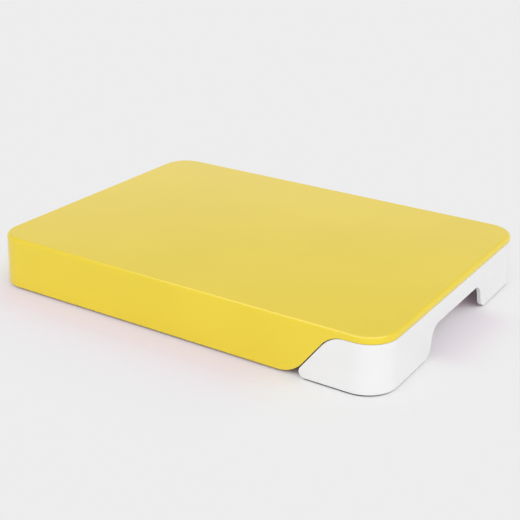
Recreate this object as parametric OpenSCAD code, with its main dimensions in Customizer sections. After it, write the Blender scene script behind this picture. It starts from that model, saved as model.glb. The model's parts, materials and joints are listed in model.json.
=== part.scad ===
// Cutting board with a colander drawer under it.
// The board is one moulding: a thick deck with a skirt on three sides. The drawer's front closes
// the fourth side and wraps round both of its corners. The drawer slides in two runners that are
// screwed to bosses under the deck, and the runners' legs carry the board on rubber feet.
// The origin is on the table under the middle of the board. The drawer opens along +X, +Y is the
// back and +Z is up. Lengths are in millimetres and angles in degrees.

/* [Board] */
// Length of the board's outline under its rounded upper edge, along the drawer's travel
board_len = 340; // [300:1:400]
// Width of the board's outline under its rounded upper edge
board_wid = 246; // [200:1:300]
// Height of the cutting surface above the table
board_h = 42.4; // [40:0.2:60]
// Corner radius of the board's outline
corner_r = 22.5; // [18:0.5:32]
// Thickness of the cutting deck
deck_t = 4.6; // [3.2:0.1:6]
// Rounding of the deck's upper edge
edge_r = 2.8; // [1:0.1:3]
// Thickness of the skirt
skirt_t = 2.6; // [2:0.1:3.5]
// Outward lean of the skirt and of the drawer's front, towards the table
wall_lean = 1.6; // [0.5:0.1:3]
// Height of the skirt's lower edge above the table
skirt_lift = 2.2; // [0.3:0.1:4]

/* [Joint between skirt and drawer front] */
// Distance from the drawer's end of the board back to the foot of the slanted joint
wing_len = 65.6; // [50:0.2:90]
// Slope of the joint, from the table
joint_slope = 53; // [45:1:70]
// Width of the gap along the joint
joint_gap = 0.8; // [0.4:0.1:2]
// Rounding of the skirt's lower corner at the joint
skirt_toe_r = 24; // [6:0.5:30]
// Rounding of the drawer front's lower corner at the joint
wing_toe_r = 4.5; // [1:0.5:6]
// Rounding of the drawer front's upper corner at the joint
wing_top_r = 20; // [6:0.5:26]

/* [Drawer front] */
// Thickness of the drawer's front and of its two wings
front_t = 3.2; // [2:0.1:4]
// Height of the front's lower edge above the table
front_lift = 1.2; // [0.5:0.1:3]
// Gap between the front's upper edge and the deck
front_gap = 0.3; // [0.2:0.1:1]
// Height of the finger notch
notch_h = 21.4; // [14:0.2:24]
// Width of the finger notch between its sides, at its top
notch_w = 86.2; // [70:0.2:120]
// Lean of the notch's sides
notch_lean = 13.8; // [0:0.2:20]
// Rounding of the notch's upper corners
notch_top_r = 11.5; // [4:0.5:14]
// Rounding where the notch meets the front's lower edge
notch_foot_r = 9.5; // [2:0.5:12]
// Depth of the hand space between the colander and the front's outer face
hand_depth = 36; // [28:0.5:50]
// Thickness of the plate over the hand space
hand_plate_t = 2.6; // [2:0.1:4]

/* [Colander] */
// Gap between the colander and the board's back wall
tub_back_gap = 4; // [2:0.5:10]
// Height of the colander's underside above the table
tub_lift = 4; // [2:0.2:8]
// Thickness of the colander's walls
tub_t = 2.2; // [1.6:0.1:3]
// Thickness of the colander's floor
floor_t = 2.2; // [1.6:0.1:3]
// Inward lean of the colander's walls, towards its floor
tub_lean = 3; // [1:0.5:8]
// Corner radius of the colander at its rim
tub_r = 18; // [12:0.5:30]
// Rounding of the colander's outer lower edge
tub_edge_r = 7; // [4:0.5:10]
// Overhang of the colander's rim
rim_out = 1.2; // [0.6:0.1:2]
// Depth of the colander's rim
rim_h = 2.4; // [1.5:0.1:4]
// Gap between the colander's rim and the deck
rim_gap = 7; // [5:0.5:9]
// Diameter of each drain hole
drain_d = 4; // [3:0.2:6]
// Spacing of the drain holes
drain_pitch = 14; // [10:0.5:30]
// Distance of the outermost drain holes' centres from the floor's rounding
drain_margin = 4; // [3:0.5:12]

/* [Slide] */
// Travel of the drawer from shut to its stop
drawer_travel = 190; // [120:1:200]
// Thickness of the drawer's rails
rail_t = 3; // [2.4:0.1:4]
// Running gap between rail and runner
slide_gap = 0.3; // [0.2:0.05:0.6]
// Side gap between the colander's rim and the runners
tub_side_gap = 0.7; // [0.4:0.1:2]
// Thickness of the runner's web, flange and ledge
runner_t = 2.4; // [1.8:0.1:3]
// Width of a runner across the drawer's travel
runner_w = 13; // [11:0.5:18]
// Gap between a runner and the skirt
runner_gap = 0.3; // [0.1:0.05:1]
// Distance of a runner's front end from the foot of the slanted joint
runner_setback = 12; // [4:0.5:30]
// Length of the stop nib on each rail
nib_len = 3; // [2:0.5:6]
// Width of the stop nib
nib_w = 1.8; // [1.2:0.1:2.4]
// Height of the stop nib over the rail
nib_h = 1.5; // [1:0.1:1.6]
// Gap left at the stop when the drawer is fully out
stop_slack = 0.3; // [0.1:0.1:1]

/* [Screws and feet] */
// Height of the screw bosses under the deck
boss_h = 8; // [6:0.5:10]
// Diameter of the screw bosses
boss_d = 7; // [5.5:0.1:7.5]
// Screws in each runner
screws_per_runner = 3; // [2:1:5]
// Distance of the end screws from a runner's ends
screw_inset = 14; // [8:1:30]
// Diameter of the screws' shanks
screw_d = 2.8; // [2.2:0.1:3.2]
// Length of the screws
screw_len = 8.5; // [7:0.5:9]
// Diameter of the screws' countersunk heads
screw_head_d = 5.6; // [4.6:0.1:6]
// Length of the arms of the cross recess in a screw's head
recess_len = 3.4; // [2:0.1:4]
// Width of the arms of the cross recess
recess_w = 0.7; // [0.5:0.1:1]
// Depth of the cross recess
recess_h = 0.9; // [0.5:0.1:1.2]
// Gap round a screw in its holes
screw_gap = 0.1; // [0.05:0.05:0.3]
// Distance of the screw heads from the runner's web
screw_web_gap = 0.5; // [0.3:0.1:1.5]
// Diameter of the holes in the ledge that let a screwdriver through
driver_d = 7; // [6:0.2:8]
// Distance of the legs from a runner's ends
leg_inset = 45; // [30:1:80]
// Diameter of the legs
leg_d = 10; // [8:0.5:11]
// Diameter of the rubber feet
foot_d = 12; // [9:0.5:12.5]
// Thickness of the rubber feet under the legs
foot_h = 2.2; // [1.6:0.1:4]
// Rounding of the feet's lower edges
foot_edge_r = 0.6; // [0.2:0.1:1.2]
// Diameter of the feet's stems
stem_d = 4; // [3:0.2:6]
// Length of the feet's stems
stem_len = 8; // [4:0.5:12]
// Gap round a stem in its leg
stem_gap = 0.1; // [0.05:0.05:0.3]

/* [Hidden] */
$fn = 72;

YELLOW = "#E9CD45";
WHITE = "#F1F1EF";
MILK = "#DCDDDA";
RUBBER = "#4C4D50";
STEEL = "#B9BCC0";

// Overlap of a cutting shape past the face that it opens, and depth of a boss or leg in the
// plate that carries it
cut_over = 1;
weld = 0.5;

// The rectangle of corner centres, and the heights of the deck
core_x = board_len / 2 - corner_r;
core_y = board_wid / 2 - corner_r;
deck_z = board_h - deck_t;
edge_z = board_h - edge_r;
front_top = deck_z - front_gap;

// The slanted joint: its foot on the skirt, and the drawer front's step ahead of it
joint_x = board_len / 2 - wing_len;
joint_step = joint_gap / sin(joint_slope);
wing_top_x = joint_at(front_top) + joint_step + wing_top_r * tan(joint_slope / 2);

// The runner's cross-section, from the deck down and from the skirt in
flange_z = deck_z - boss_h;
slot_top = flange_z - runner_t;
rail_top = slot_top - slide_gap;
rail_low = rail_top - rail_t;
slot_low = rail_low - slide_gap;
ledge_z = slot_low - runner_t;
runner_out_y = board_wid / 2 - skirt_t - runner_gap;
runner_in_y = runner_out_y - runner_w;
slot_out_y = runner_out_y - runner_t;
rail_out_y = slot_out_y - slide_gap;
screw_y = slot_out_y - screw_web_gap - screw_head_d / 2;
nib_y = (runner_in_y + screw_y - screw_head_d / 2) / 2;

// The colander: its rim, its ends and the rectangle of its corner centres
rim_z = deck_z - rim_gap;
tub_half_y = runner_in_y - tub_side_gap - rim_out;
tub_back_x = -board_len / 2 + skirt_t + tub_back_gap + rim_out;
tub_front_x = board_len / 2 - hand_depth;
tub_mid_x = (tub_back_x + tub_front_x) / 2;
tub_core_x = (tub_front_x - tub_back_x) / 2 - tub_r;
tub_core_y = tub_half_y - tub_r;
floor_z = tub_lift + floor_t;
inner_edge_r = tub_edge_r - tub_t;

// The slide along the drawer's travel: the rails start where the colander's sides are straight
rail_x = tub_back_x + tub_r;
runner_back_x = rail_x - slide_gap - runner_t;
runner_front_x = joint_x - runner_setback;
stop_x = rail_x + nib_len + drawer_travel + stop_slack;
screw_xs = [
  for (i = [0 : screws_per_runner - 1])
    runner_back_x + screw_inset
      + i * (runner_front_x - runner_back_x - 2 * screw_inset) / (screws_per_runner - 1)
];
leg_xs = [runner_back_x + leg_inset, runner_front_x - leg_inset];
leg_y = runner_out_y - runner_w / 2;

// Distance of the outer wall from the rectangle of corner centres, at a height
function wall_u(z) = corner_r + (edge_z - z) * tan(wall_lean);

// Place of the slanted joint along the board, at a height
function joint_at(z) = joint_x + (z - skirt_lift) / tan(joint_slope);

// Distance of the colander's outer wall from its own corner centres, at a height
function tub_u(z) = tub_r - (rim_z - z) * tan(tub_lean);

// Sweeps a profile round a rounded rectangle with the given corner centres. The profile's x is
// the distance out from the rectangle of those centres, and its y is the height.
module round_outline(half_x, half_y) {
  for (side = [0 : 3]) {
    away = side % 2 == 0 ? half_x : half_y;
    along = side % 2 == 0 ? half_y : half_x;
    rotate(90 * side) {
      translate([away, along, 0])
        rotate_extrude(angle = 90)
          children();
      translate([away, 0, 0])
        rotate([90, 0, 0])
          linear_extrude(2 * along, center = true)
            children();
    }
  }
}

// A solid swept round a rounded rectangle, from a profile that starts at its corner centres
module round_block(half_x, half_y, low, high) {
  round_outline(half_x, half_y)
    children();
  rotate([90, 0, 0])
    linear_extrude(2 * half_y, center = true)
      polygon([[-half_x, low], [half_x, low], [half_x, high], [-half_x, high]]);
}

// The sliver between a corner at p and the arc of radius r that rounds it, with an overlap past
// the corner's two sides. The sides leave p at the angles a and b, with a below b.
module corner_sliver(p, a, b, r) {
  half = (b - a) / 2;
  inward = [cos((a + b) / 2), sin((a + b) / 2)];
  centre = p + r / sin(half) * inward;
  difference() {
    polygon([
      p - cut_over / sin(half) * inward,
      centre + (r + cut_over) * [sin(a), -cos(a)],
      centre,
      centre + (r + cut_over) * [-sin(b), cos(b)]
    ]);
    translate(centre)
      circle(r);
  }
}

// Profile of a leaning outer wall of thickness t between two heights
module wall_profile(t, low, high) {
  polygon([
    [wall_u(low) - t, low],
    [wall_u(low), low],
    [wall_u(high), high],
    [wall_u(high) - t, high]
  ]);
}

// Profile of all that lies inside the leaning outer wall, less an inset, between two heights
module fill_profile(inset, low, high) {
  polygon([[0, low], [wall_u(low) - inset, low], [wall_u(high) - inset, high], [0, high]]);
}

// Profile of the deck and skirt, from the corner centres out to the rounded upper edge
module shell_profile() {
  polygon([
    [0, deck_z],
    [wall_u(deck_z) - skirt_t, deck_z],
    [wall_u(skirt_lift) - skirt_t, skirt_lift],
    [wall_u(skirt_lift), skirt_lift],
    [corner_r, edge_z],
    [corner_r - edge_r, edge_z],
    [corner_r - edge_r, board_h],
    [0, board_h]
  ]);
  translate([corner_r - edge_r, edge_z])
    intersection() {
      circle(edge_r);
      square(edge_r);
    }
}

// The space that the skirt leaves for the drawer's front, seen from the side. It rounds the skirt's
// lower corner and leaves a fillet under the deck.
module front_space() {
  toe = [joint_x, skirt_lift];
  top = [joint_at(deck_z), deck_z];
  toe_reach = skirt_toe_r * tan(joint_slope / 2);
  difference() {
    polygon([toe, [board_len, skirt_lift], [board_len, deck_z], top]);
    corner_sliver(top, joint_slope - 180, 0, wing_top_r + joint_gap);
  }
  corner_sliver(toe, joint_slope, 180, skirt_toe_r);
  translate([joint_x - toe_reach, skirt_lift - cut_over])
    square([board_len, cut_over]);
}

// The drawer front seen from the side, with both corners of its wings rounded
module wing_side() {
  toe = [joint_at(front_lift) + joint_step, front_lift];
  top = [joint_at(front_top) + joint_step, front_top];
  difference() {
    polygon([toe, [board_len, front_lift], [board_len, front_top], top]);
    corner_sliver(toe, 0, joint_slope, wing_toe_r);
    corner_sliver(top, joint_slope - 180, 0, wing_top_r);
  }
}

// The finger notch seen from the drawer's end
module notch_end() {
  half_top = notch_w / 2;
  half_low = half_top + notch_h * tan(notch_lean);
  top = front_lift + notch_h;
  difference() {
    polygon([[-half_low, front_lift], [half_low, front_lift], [half_top, top], [-half_top, top]]);
    for (side = [0, 1])
      mirror([side, 0])
        corner_sliver([half_top, top], 180, 270 + notch_lean, notch_top_r);
  }
  for (side = [0, 1])
    mirror([side, 0])
      corner_sliver([half_low, front_lift], 0, 90 + notch_lean, notch_foot_r);
  translate([-half_low - notch_foot_r, front_lift - cut_over])
    square([2 * (half_low + notch_foot_r), cut_over]);
}

// Extrudes a shape that is drawn in x and z right across the board
module across_board() {
  rotate([90, 0, 0])
    linear_extrude(2 * board_wid, center = true)
      children();
}

// Both sides of the board at once: the children are drawn on the +Y side
module both_sides() {
  for (side = [0, 1])
    mirror([0, side, 0])
      children();
}

// The cutting board: deck, skirt and screw bosses
module board() {
  color(YELLOW)
    difference() {
      union() {
        difference() {
          round_block(core_x, core_y, deck_z, board_h)
            shell_profile();
          across_board()
            front_space();
        }
        both_sides()
          for (x = screw_xs)
            translate([x, screw_y, flange_z])
              cylinder(d = boss_d, h = boss_h + weld);
      }
      both_sides()
        for (x = screw_xs)
          translate([x, screw_y, flange_z - cut_over])
            cylinder(d = screw_d + 2 * screw_gap, h = boss_h + cut_over);
    }
}

// The colander's form, inset by a wall thickness, from a floor height up to a mouth height
module tub_form(inset, low, high, r) {
  low_u = tub_u(low) - inset;
  translate([tub_mid_x, 0, 0])
    round_block(tub_core_x, tub_core_y, low, high)
      difference() {
        polygon([[0, low], [low_u, low], [tub_u(high) - inset, high], [0, high]]);
        corner_sliver([low_u, low], 90 - tub_lean, 180, r);
      }
}

// Rows of drain holes, set in triangles, over the flat of the colander's floor
module drains() {
  row_pitch = drain_pitch * sin(60);
  reach = tub_u(floor_z) - tub_t - inner_edge_r - drain_margin;
  rows = floor((tub_core_y + reach) / row_pitch);
  columns = ceil((tub_core_x + reach) / drain_pitch);
  for (row = [-rows : rows], column = [-columns : columns]) {
    x = (column + (row % 2 == 0 ? 0 : 0.5)) * drain_pitch;
    y = row * row_pitch;
    past_core = norm([max(abs(x) - tub_core_x, 0), max(abs(y) - tub_core_y, 0)]);
    if (past_core <= reach)
      translate([tub_mid_x + x, y, tub_lift - cut_over])
        cylinder(d = drain_d, h = floor_t + 2 * cut_over);
  }
}

// What joins the colander to the drawer's front: the rails and the plate over the hand space
module drawer_frame() {
  both_sides()
    translate([rail_x, tub_half_y - tub_r, rail_low])
      cube([board_len, rail_out_y - tub_half_y + tub_r, rail_t]);
  translate([tub_front_x - tub_r, -rail_out_y, rim_z - hand_plate_t])
    cube([board_len, 2 * rail_out_y, hand_plate_t]);
  translate([wing_top_x, -board_wid, rim_z - hand_plate_t])
    cube([board_len, 2 * board_wid, hand_plate_t]);
}

// The drawer: colander, rails with stop nibs, hand space, and the front with its two wings
module colander_drawer() {
  color(WHITE)
    difference() {
      union() {
        tub_form(0, tub_lift, rim_z, tub_edge_r);
        translate([tub_mid_x, 0, 0])
          round_outline(tub_core_x, tub_core_y)
            translate([tub_r - tub_t / 2, rim_z - rim_h])
              square([tub_t / 2 + rim_out, rim_h]);
        intersection() {
          drawer_frame();
          round_block(core_x, core_y, front_lift, front_top)
            fill_profile(front_t / 2, front_lift, front_top);
        }
        difference() {
          intersection() {
            round_outline(core_x, core_y)
              wall_profile(front_t, front_lift, front_top);
            across_board()
              wing_side();
          }
          translate([core_x, 0, 0])
            rotate([90, 0, 90])
              linear_extrude(board_len)
                notch_end();
        }
        both_sides()
          translate([rail_x, nib_y - nib_w / 2, rail_low])
            cube([nib_len, nib_w, rail_t + nib_h]);
      }
      tub_form(tub_t, floor_z, rim_z + cut_over, inner_edge_r);
      drains();
    }
}

// A runner on the +Y side: a channel with a closed back, screw holes, stop groove and two legs
module runner() {
  length = runner_front_x - runner_back_x;
  groove_w = nib_w + 2 * slide_gap;
  color(MILK)
    difference() {
      union() {
        difference() {
          translate([runner_back_x, runner_in_y, ledge_z])
            cube([length, runner_w, flange_z - ledge_z]);
          translate([rail_x - slide_gap, runner_in_y - cut_over, slot_low])
            cube([length, slot_out_y - runner_in_y + cut_over, slot_top - slot_low]);
        }
        for (x = leg_xs)
          translate([x, leg_y, foot_h])
            cylinder(d = leg_d, h = ledge_z - foot_h + weld);
      }
      translate([rail_x - slide_gap, nib_y - groove_w / 2, slot_low])
        cube([stop_x - rail_x + slide_gap, groove_w, rail_top + nib_h + slide_gap - slot_low]);
      for (x = screw_xs)
        translate([x, screw_y, 0]) {
          translate([0, 0, slot_top])
            screw_form(screw_gap, flange_z - slot_top + cut_over);
          translate([0, 0, ledge_z - cut_over])
            cylinder(d = driver_d, h = runner_t + 2 * cut_over);
        }
      for (x = leg_xs)
        translate([x, leg_y, foot_h - cut_over])
          cylinder(d = stem_d + 2 * stem_gap, h = stem_len + stem_gap + cut_over);
    }
}

// A countersunk screw's form, head down at z = 0, grown all round by a gap
module screw_form(gap, length) {
  head_h = (screw_head_d - screw_d) / 2;
  cylinder(d1 = screw_head_d + 2 * gap, d2 = screw_d + 2 * gap, h = head_h);
  cylinder(d = screw_d + 2 * gap, h = length);
}

// The screws that hold both runners, with a cross recess in each head
module runner_screws() {
  color(STEEL)
    both_sides()
      for (x = screw_xs)
        translate([x, screw_y, slot_top])
          difference() {
            screw_form(0, screw_len);
            for (turn = [0, 90])
              rotate(turn)
                translate([-recess_len / 2, -recess_w / 2, -cut_over])
                  cube([recess_len, recess_w, recess_h + cut_over]);
          }
}

// A rubber foot under a leg on the +Y side: a pad with a stem that plugs into the leg
module foot(x) {
  color(RUBBER)
    translate([x, leg_y, 0])
      rotate_extrude()
        difference() {
          polygon([
            [0, 0],
            [foot_d / 2, 0],
            [foot_d / 2, foot_h],
            [stem_d / 2, foot_h],
            [stem_d / 2, foot_h + stem_len],
            [0, foot_h + stem_len]
          ]);
          corner_sliver([foot_d / 2, 0], 90, 180, foot_edge_r);
        }
}

board();
colander_drawer();
mirror([0, 1, 0]) runner();  // near_runner
runner();  // far_runner
runner_screws();
mirror([0, 1, 0]) foot(leg_xs[1]);  // foot_front_near
foot(leg_xs[1]);  // foot_front_far
mirror([0, 1, 0]) foot(leg_xs[0]);  // foot_back_near
foot(leg_xs[0]);  // foot_back_far
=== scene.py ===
import json
import math

import bmesh
import bpy
from mathutils import Matrix, Vector


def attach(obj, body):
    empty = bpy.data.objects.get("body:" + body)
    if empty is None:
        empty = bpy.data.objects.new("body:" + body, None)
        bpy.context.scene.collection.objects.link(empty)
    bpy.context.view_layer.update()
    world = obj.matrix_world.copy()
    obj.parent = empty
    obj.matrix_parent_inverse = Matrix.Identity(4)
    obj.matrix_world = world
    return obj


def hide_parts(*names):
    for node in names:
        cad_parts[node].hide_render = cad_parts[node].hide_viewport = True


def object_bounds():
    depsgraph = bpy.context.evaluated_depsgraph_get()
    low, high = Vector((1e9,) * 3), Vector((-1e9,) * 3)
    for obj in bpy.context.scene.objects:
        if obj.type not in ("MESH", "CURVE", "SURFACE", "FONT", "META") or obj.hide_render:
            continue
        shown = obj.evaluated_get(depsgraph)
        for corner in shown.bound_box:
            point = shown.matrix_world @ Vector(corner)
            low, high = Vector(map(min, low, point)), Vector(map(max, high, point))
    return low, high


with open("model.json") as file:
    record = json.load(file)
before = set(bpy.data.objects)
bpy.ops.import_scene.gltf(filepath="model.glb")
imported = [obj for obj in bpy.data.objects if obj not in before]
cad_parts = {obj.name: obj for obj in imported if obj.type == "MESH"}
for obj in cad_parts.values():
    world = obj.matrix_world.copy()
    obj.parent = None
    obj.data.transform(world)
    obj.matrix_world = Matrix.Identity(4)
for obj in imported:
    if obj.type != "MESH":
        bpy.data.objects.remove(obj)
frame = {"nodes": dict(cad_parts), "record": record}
cad_low, cad_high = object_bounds()
scene = bpy.context.scene
scene.view_settings.view_transform = "Standard"

# The camera stands off the near corner, and its angles are in degrees
CAMERA_AZIMUTH = 32.097
CAMERA_ELEVATION = 22.823
CAMERA_ROLL = 0.879
CAMERA_DISTANCE = 0.849116
CAMERA_TARGET = Vector((0.004988, -0.008471, 0.0214))
CAMERA_SENSOR = 36.0
CAMERA_LENS = 73.622
CAMERA_NEAR = 0.01
CAMERA_FAR = 50.0

# The studio: one pale tone for floor and backdrop, and a soft light that is fuller on the near side
# and thins out towards the horizon
WHITE = (1, 1, 1, 1)
STUDIO_TONE = 0.847
SKY_LIGHT = 0.735
FRONT_LIGHT = 1.07
FRONT_LIGHT_TURN = math.radians(42)
HORIZON_SHARE = 0.3
HORIZON_HIGH = 0.4
FLOOR_COLOUR = (0.93, 0.925, 0.93, 1)
FLOOR_SIZE = 12.0

# Mirrored rays see a backdrop that darkens upwards, between these two heights of a unit direction
BACKDROP_LOW = 0.26
BACKDROP_HIGH = 0.5
BACKDROP_LOW_TONE = 0.9
BACKDROP_HIGH_TONE = 0.52

# A soft panel overhead that only mirrored rays see, between two heights of a unit direction
PANEL_LOW = 0.74
PANEL_HIGH = 0.82
PANEL_LIGHT = 2.2

# The floor shows its own colour, lit and shaded, where pieces within reach cover the sky over it,
# with a painted rosy tint in deep shade, and the studio's plain tone where the sky is open. Between
# the two there is a step of thin shade. The limits are shares of open sky.
SHADE_REACH = 0.12
DEEP_SHADE_LOW = 0.05
DEEP_SHADE_HIGH = 0.3
DEEP_SHADE_COLOUR = (0.94, 0.75, 0.83, 1)
THIN_SHADE_LOW = 0.7
THIN_SHADE_HIGH = 1.0
THIN_SHADE_CLEAR = 0.4

# Close under an edge the floor gets a painted contact shadow, darkest along the near side
CONTACT_REACH = 0.004
CONTACT_LOW = 0.2
CONTACT_HIGH = 0.6
CONTACT_SHADOW_COLOUR = (0.18, 0.17, 0.18, 1)
CONTACT_SKIRT_SHARE = 0.4
CONTACT_FAR_SHARE = 0.35
NEAR_SIDE_LOW = -0.122
NEAR_SIDE_HIGH = -0.1

# Painted shade tints on the floor beside the near skirt and the finger notch. Each band has two
# ends and a softness, first along the board and then across it.
SKIRT_SHADE_TINT = (0.87, 0.72, 0.84, 1)
SKIRT_ALONG = (-0.172, 0.092, 0.03)
SKIRT_ACROSS = (-0.25, -0.05, 0.08)
NOTCH_SHADE_TINT = (0.87, 0.77, 0.86, 1)
NOTCH_ALONG = (0.15, 0.2, 0.02)
NOTCH_ACROSS = (-0.046, 0.046, 0.014)

# The noise in the finishes: the values between which it mostly lies, and the detail of its clouds
NOISE_LOW = 0.3
NOISE_HIGH = 0.7
CLOUD_DETAIL = 3.0

# Faint cut marks on the board's top: their directions, the size of one mark, the noise that makes a
# mark, the heights between which they set in, and how much duller they are
MARK_TURNS = (math.radians(24), math.radians(71), math.radians(-38))
MARK_WIDTH = 0.0012
MARK_LENGTH = 0.05
MARK_NOISE_LOW = 0.7
MARK_NOISE_HIGH = 0.76
MARK_HEIGHTS = (cad_high[2] - 0.0006, cad_high[2] - 0.0001)
MARK_DULLNESS = 0.05

# Rounded edges: the angles that tell a flat from a corner, and the radius for each material
MERGE_DISTANCE = 1e-6
FLAT_ANGLE = math.radians(0.25)
SHARP_ANGLE = math.radians(30)
EDGE_SEGMENTS = 3
EDGE_RADII = {
    "board": 0.00025,
    "drawer": 0.00025,
    "runner": 0.00025,
    "screws": 0.00012,
    "feet": 0.0004,
}

# The colander's drain holes: the heights of their two rims, the chamfer there, every how many
# corners one is kept, and a small turn so that a corner on the first axis always comes first
DRAIN_LEVELS = (0.004, 0.0062)
DRAIN_CHAMFER = 0.0003
DRAIN_STEP = 3
DRAIN_TURN = math.radians(0.3)


class Shade:
    """A socket of a node tree, whose operators add Math nodes to that tree."""

    def __init__(self, tree, socket=None):
        self.tree = tree
        self.socket = socket

    def node(self, kind, settings=None, inputs=None, output=0):
        """Adds a node of any kind: first its settings, then its sockets' values or links."""
        made = self.tree.nodes.new(kind)
        for name, value in (settings or {}).items():
            setattr(made, name, value)
        for name, value in (inputs or {}).items():
            if isinstance(value, Shade):
                self.tree.links.new(value.socket, made.inputs[name])
            else:
                made.inputs[name].default_value = value
        return Shade(self.tree, made.outputs[output] if made.outputs else None)

    def math(self, operation, *values):
        return self.node("ShaderNodeMath", {"operation": operation}, dict(enumerate(values)))

    def __add__(self, other):
        return self.math("ADD", self, other)

    def __radd__(self, other):
        return self.math("ADD", other, self)

    def __sub__(self, other):
        return self.math("SUBTRACT", self, other)

    def __rsub__(self, other):
        return self.math("SUBTRACT", other, self)

    def __mul__(self, other):
        return self.math("MULTIPLY", self, other)

    def __rmul__(self, other):
        return self.math("MULTIPLY", other, self)

    def vector(self, operation, *values, output="Vector"):
        return self.node(
            "ShaderNodeVectorMath", {"operation": operation}, dict(enumerate(values)), output
        )

    def part(self, axis):
        """One of the parts X, Y and Z of a vector."""
        return self.node("ShaderNodeSeparateXYZ", inputs={"Vector": self}, output=axis)

    def rise(self, low, high, low_value=0.0, high_value=1.0):
        """A smooth rise from one value to another, as this one goes from low to high."""
        return self.node(
            "ShaderNodeMapRange",
            {"interpolation_type": "SMOOTHSTEP"},
            {0: self, 1: low, 2: high, 3: low_value, 4: high_value},
        )

    def within(self, low, high, soft):
        """1 between two values and 0 outside them, with soft ends."""
        return self.rise(low - soft, low + soft) * self.rise(high - soft, high + soft, 1.0, 0.0)

    def tone(self, low_colour, high_colour):
        """A colour between two, with this value as the share of the second."""
        return self.node(
            "ShaderNodeMix", {"data_type": "RGBA"}, {0: self, 6: low_colour, 7: high_colour}, 2
        )


def make_camera():
    """The camera, placed by its angles and its distance from the target."""
    azimuth = math.radians(CAMERA_AZIMUTH)
    elevation = math.radians(CAMERA_ELEVATION)
    roll = math.radians(CAMERA_ROLL)
    back = Vector((
        math.sin(azimuth) * math.cos(elevation),
        -math.cos(azimuth) * math.cos(elevation),
        math.sin(elevation),
    ))
    level = Vector((math.cos(azimuth), math.sin(azimuth), 0.0))
    upright = back.cross(level)
    right = math.cos(roll) * level + math.sin(roll) * upright
    up = math.cos(roll) * upright - math.sin(roll) * level
    data = bpy.data.cameras.new("camera")
    data.sensor_width = CAMERA_SENSOR
    data.lens = CAMERA_LENS
    data.clip_start = CAMERA_NEAR
    data.clip_end = CAMERA_FAR
    camera = bpy.data.objects.new("camera", data)
    turn = Matrix((right, up, back)).transposed().to_4x4()
    camera.matrix_world = Matrix.Translation(CAMERA_TARGET + back * CAMERA_DISTANCE) @ turn
    scene.collection.objects.link(camera)
    scene.camera = camera


def seen_directly(shade):
    """1 for the rays that show the studio itself, straight or mirrored, and 0 for the others."""
    straight = shade.node("ShaderNodeLightPath", output="Is Camera Ray")
    mirrored = shade.node("ShaderNodeLightPath", output="Is Glossy Ray")
    return shade.math("MAXIMUM", straight, mirrored)


def light_studio():
    """One world that lights the pieces, is seen behind them and is mirrored in them."""
    world = bpy.data.worlds.new("studio")
    world.use_nodes = True
    world.node_tree.nodes.clear()
    shade = Shade(world.node_tree)
    direction = shade.node("ShaderNodeTexCoord", output="Generated")
    front = (math.sin(FRONT_LIGHT_TURN), -math.cos(FRONT_LIGHT_TURN), 0.0)
    facing = shade.vector("DOT_PRODUCT", direction, front, output="Value")
    height = direction.part("Z")
    light = SKY_LIGHT + FRONT_LIGHT * shade.math("MAXIMUM", facing, 0.0)
    light = light * height.rise(0.0, HORIZON_HIGH, HORIZON_SHARE, 1.0)
    mirrored = shade.node("ShaderNodeLightPath", output="Is Glossy Ray")
    backdrop = height.rise(BACKDROP_LOW, BACKDROP_HIGH, BACKDROP_LOW_TONE, BACKDROP_HIGH_TONE)
    panel = height.rise(PANEL_LOW, PANEL_HIGH, 0.0, PANEL_LIGHT)
    shown = mirrored * (backdrop + panel) + (1 - mirrored) * STUDIO_TONE
    seen = seen_directly(shade)
    strength = seen * shown + (1 - seen) * light
    sky = shade.node("ShaderNodeBackground", inputs={"Color": WHITE, "Strength": strength})
    shade.node("ShaderNodeOutputWorld", inputs={"Surface": sky})
    scene.world = world


def new_material(name):
    """An empty material, and a Shade that adds nodes to it."""
    material = bpy.data.materials.new(name)
    material.use_nodes = True
    material.node_tree.nodes.clear()
    return material, Shade(material.node_tree)


def open_sky(shade, reach):
    """The share of the sky over a place that no piece within reach covers."""
    return shade.node("ShaderNodeAmbientOcclusion", inputs={"Distance": reach}, output="AO")


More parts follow.
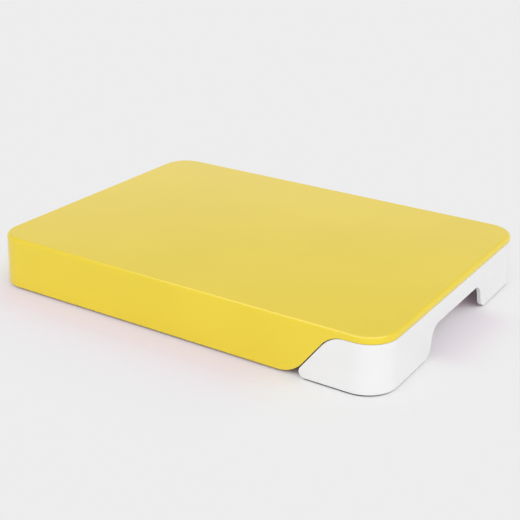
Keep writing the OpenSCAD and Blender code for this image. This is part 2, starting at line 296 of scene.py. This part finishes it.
def pale_floor():
    """The floor's material: plain under open sky, shaded close to the pieces, with painted shade
    tints.
    """
    material, shade = new_material("pale_floor")
    place = shade.node("ShaderNodeTexCoord", output="Object")
    along = place.part("X")
    across = place.part("Y")
    seen = seen_directly(shade)
    sky = open_sky(shade, SHADE_REACH)
    # Bands where the floor's shade gets a painted tint, beside the finger notch and the near skirt
    notch_shade_band = along.within(*NOTCH_ALONG) * across.within(*NOTCH_ACROSS) * seen
    skirt_shade_band = along.within(*SKIRT_ALONG) * across.within(*SKIRT_ACROSS) * seen
    # A painted contact shadow where pieces within a few millimetres cover the sky over the floor
    contact_shadow = (
        open_sky(shade, CONTACT_REACH).rise(CONTACT_LOW, CONTACT_HIGH, 1.0, 0.0)
        * across.rise(NEAR_SIDE_LOW, NEAR_SIDE_HIGH, 1.0, CONTACT_FAR_SHARE)
        * (1 - (1 - CONTACT_SKIRT_SHARE) * skirt_shade_band)
    ) * seen
    clear = (
        sky.rise(DEEP_SHADE_LOW, DEEP_SHADE_HIGH, 0.0, THIN_SHADE_CLEAR)
        + sky.rise(THIN_SHADE_LOW, THIN_SHADE_HIGH, 0.0, 1.0 - THIN_SHADE_CLEAR)
    ) * (1 - contact_shadow) * seen
    # A painted rosy tint where the floor is in deep shade
    deep_shade_tint = sky.rise(DEEP_SHADE_LOW, DEEP_SHADE_HIGH, 1.0, 0.0) * seen
    colour = skirt_shade_band.tone(notch_shade_band.tone(FLOOR_COLOUR, NOTCH_SHADE_TINT), SKIRT_SHADE_TINT)
    colour = contact_shadow.tone(deep_shade_tint.tone(colour, DEEP_SHADE_COLOUR), CONTACT_SHADOW_COLOUR)
    matt = shade.node("ShaderNodeBsdfDiffuse", inputs={"Color": colour})
    plain = shade.node("ShaderNodeEmission", inputs={"Color": WHITE, "Strength": STUDIO_TONE})
    mixed = shade.node("ShaderNodeMixShader", inputs={0: clear, 1: matt, 2: plain})
    shade.node("ShaderNodeOutputMaterial", inputs={"Surface": mixed})
    return material


def lay_floor():
    """A wide floor under the object, which isn't a piece of it."""
    bm = bmesh.new()
    bmesh.ops.create_grid(bm, x_segments=1, y_segments=1, size=FLOOR_SIZE / 2)
    mesh = bpy.data.meshes.new("floor")
    bm.to_mesh(mesh)
    bm.free()
    mesh.materials.append(pale_floor())
    floor = bpy.data.objects.new("floor", mesh)
    scene.collection.objects.link(floor)


def noise(shade, place, size, detail):
    """A soft noise from 0 to 1, whose patches are about size metres across."""
    return shade.node(
        "ShaderNodeTexNoise", inputs={"Vector": place, "Scale": 1 / size, "Detail": detail}
    )


def cut_marks(shade, place):
    """Sparse hairlines on the board's top: 1 on a line and 0 beside it."""
    marks = 0
    for turn in MARK_TURNS:
        turned = shade.node(
            "ShaderNodeVectorRotate", {"rotation_type": "Z_AXIS"}, {"Vector": place, "Angle": turn}
        )
        drawn_out = shade.vector("MULTIPLY", turned, (MARK_WIDTH / MARK_LENGTH, 1.0, 0.0))
        lines = noise(shade, drawn_out, MARK_WIDTH, 0.0)
        marks = marks + lines.rise(MARK_NOISE_LOW, MARK_NOISE_HIGH)
    return marks * place.part("Z").rise(*MARK_HEIGHTS)


def make_finish(
    name, constants, tones, cloud_size, roughness, sheen_size, relief_size, relief_depth,
    cloud_high=NOISE_HIGH, relief_strength=1.0, grain_detail=2.0, squeeze=None, has_marks=False,
):
    """A material of two clouded tones, with a patchy sheen and a fine relief, sized in metres."""
    material, shade = new_material(name)
    place = shade.node("ShaderNodeTexCoord", output="Object")
    cloud = noise(shade, place, cloud_size, CLOUD_DETAIL)
    grain_place = shade.vector("MULTIPLY", place, squeeze) if squeeze else place
    sheen = noise(shade, grain_place, sheen_size, grain_detail)
    dullness = sheen.rise(NOISE_LOW, NOISE_HIGH, *roughness)
    if has_marks:
        dullness = dullness + MARK_DULLNESS * cut_marks(shade, place)
    relief = noise(shade, grain_place, relief_size, grain_detail)
    normal = shade.node("ShaderNodeBump", inputs={
        "Strength": relief_strength, "Distance": relief_depth, "Height": relief,
    })
    bsdf = shade.node("ShaderNodeBsdfPrincipled", inputs={
        "Base Color": cloud.rise(NOISE_LOW, cloud_high).tone(*tones),
        "Roughness": dullness,
        "Normal": normal,
        **constants,
    })
    shade.node("ShaderNodeOutputMaterial", inputs={"Surface": bsdf})
    return material


def yellow_gloss_plastic():
    """The board: wide flow clouds, an even gloss and faint cut marks."""
    return make_finish(
        "yellow_gloss_plastic", {"IOR": 1.5},
        tones=((0.865, 0.663, 0.034, 1), (0.895, 0.689, 0.037, 1)), cloud_size=0.09,
        roughness=(0.09, 0.13), sheen_size=0.02, relief_size=0.0016, relief_depth=0.000004,
        has_marks=True,
    )


def white_gloss_plastic():
    """The colander drawer: a softer gloss."""
    return make_finish(
        "white_gloss_plastic", {"IOR": 1.49},
        tones=((0.875, 0.875, 0.88, 1), (0.9, 0.9, 0.9, 1)), cloud_size=0.07,
        roughness=(0.2, 0.26), sheen_size=0.015, relief_size=0.0014, relief_depth=0.000005,
    )


def milky_matt_plastic():
    """The runners: a fine grain all over."""
    return make_finish(
        "milky_matt_plastic", {"IOR": 1.48},
        tones=((0.68, 0.69, 0.67, 1), (0.73, 0.74, 0.72, 1)), cloud_size=0.03,
        roughness=(0.42, 0.55), sheen_size=0.0006, relief_size=0.0006, relief_depth=0.00002,
        grain_detail=4.0,
    )


def zinc_plated_steel():
    """The screws: marks squeezed along the screw's length, as turning leaves them."""
    return make_finish(
        "zinc_plated_steel", {"Metallic": 1.0},
        tones=((0.47, 0.48, 0.5, 1), (0.56, 0.57, 0.58, 1)), cloud_size=0.0015,
        roughness=(0.24, 0.4), sheen_size=0.002, relief_size=0.002, relief_depth=0.00001,
        relief_strength=0.6, grain_detail=3.0, squeeze=(1.0, 1.0, 20.0),
    )


def dark_grey_rubber():
    """The feet: dull, with a very fine grain."""
    return make_finish(
        "dark_grey_rubber", {"IOR": 1.52},
        tones=((0.062, 0.062, 0.066, 1), (0.085, 0.085, 0.088, 1)), cloud_size=0.004,
        roughness=(0.72, 0.88), sheen_size=0.0004, relief_size=0.0004, relief_depth=0.00003,
        cloud_high=0.75, relief_strength=0.8, grain_detail=3.0,
    )


def is_corner(edge):
    """True for an outward edge that a real moulding has rounded."""
    return len(edge.link_faces) == 2 and edge.is_convex and edge.calc_face_angle() > SHARP_ANGLE


def is_drain_rim(edge):
    """True for a corner that lies level with the upper or lower rim of the drain holes."""
    heights = [vert.co.z for vert in edge.verts]
    return is_corner(edge) and any(
        all(abs(height - level) < MERGE_DISTANCE for height in heights) for level in DRAIN_LEVELS
    )


def thin_drains(bm):
    """Keeps only some corners of each drain hole, because there are hundreds of holes."""
    left = {vert for edge in bm.edges if is_drain_rim(edge) for vert in edge.verts}
    joined = {}
    for start in bm.verts:
        if start not in left:
            continue
        left.remove(start)
        ring = [start]
        for vert in ring:
            beside = {e.other_vert(vert) for e in vert.link_edges if is_drain_rim(e)} & left
            ring.extend(beside)
            left -= beside
        middle = sum((vert.co for vert in ring), Vector()) / len(ring)
        ring.sort(key=lambda vert: (math.atan2(*(vert.co - middle).yx) + DRAIN_TURN) % math.tau)
        for i, vert in enumerate(ring):
            kept = ring[DRAIN_STEP * round(i / DRAIN_STEP) % len(ring)]
            if kept is not vert:
                joined[vert] = kept
    bmesh.ops.weld_verts(bm, targetmap=joined)


def corner_mesh(name):
    """A merged copy of a node's mesh, whose weights say which edges are rounded."""
    bm = bmesh.new()
    bm.from_mesh(frame["nodes"][name].data)
    bmesh.ops.remove_doubles(bm, verts=bm.verts, dist=MERGE_DISTANCE)
    has_drains = name == "colander_drawer"
    if has_drains:
        thin_drains(bm)
    bmesh.ops.dissolve_limit(bm, angle_limit=FLAT_ANGLE, verts=bm.verts, edges=bm.edges)
    weights = bm.edges.layers.float.new("bevel_weight_edge")
    for edge in bm.edges:
        edge.smooth = is_corner(edge) or edge.calc_face_angle(0.0) < SHARP_ANGLE
        edge[weights] = float(is_corner(edge) and not is_drain_rim(edge))
    if has_drains:
        bmesh.ops.bevel(
            bm, geom=[edge for edge in bm.edges if is_drain_rim(edge)], affect="EDGES",
            offset_type="OFFSET", offset=DRAIN_CHAMFER, segments=1, profile=0.5, material=-1,
        )
    for face in bm.faces:
        face.smooth = True
    mesh = bpy.data.meshes.new(f"{name}_rounded")
    bm.to_mesh(mesh)
    bm.free()
    # Normals stored with the node fit its unrounded shape only
    if "custom_normal" in mesh.attributes:
        mesh.attributes.remove(mesh.attributes["custom_normal"])
    return mesh


def rounded_piece(name, body, slot, finish):
    """A copy of a node with rounded edges, which stands for that node."""
    mesh = corner_mesh(name)
    mesh.materials.append(finish)
    piece = bpy.data.objects.new(f"{name}_rounded", mesh)
    scene.collection.objects.link(piece)
    rounding = piece.modifiers.new("rounding", "BEVEL")
    rounding.limit_method = "WEIGHT"
    rounding.width = EDGE_RADII[slot]
    rounding.segments = EDGE_SEGMENTS
    rounding.use_clamp_overlap = False
    shading = piece.modifiers.new("flat_faces", "WEIGHTED_NORMAL")
    shading.keep_sharp = True
    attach(piece, body)
    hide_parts(name)


make_camera()
light_studio()
lay_floor()
finishes = {
    "board": yellow_gloss_plastic(),
    "drawer": white_gloss_plastic(),
    "runner": milky_matt_plastic(),
    "screws": zinc_plated_steel(),
    "feet": dark_grey_rubber(),
}
slots = {part["node"]: part["material_slot"] for part in frame["record"]["subparts"]}
for body, names in frame["record"]["behaviour"]["bodies"].items():
    for name in names:
        rounded_piece(name, body, slots[name], finishes[slots[name]])
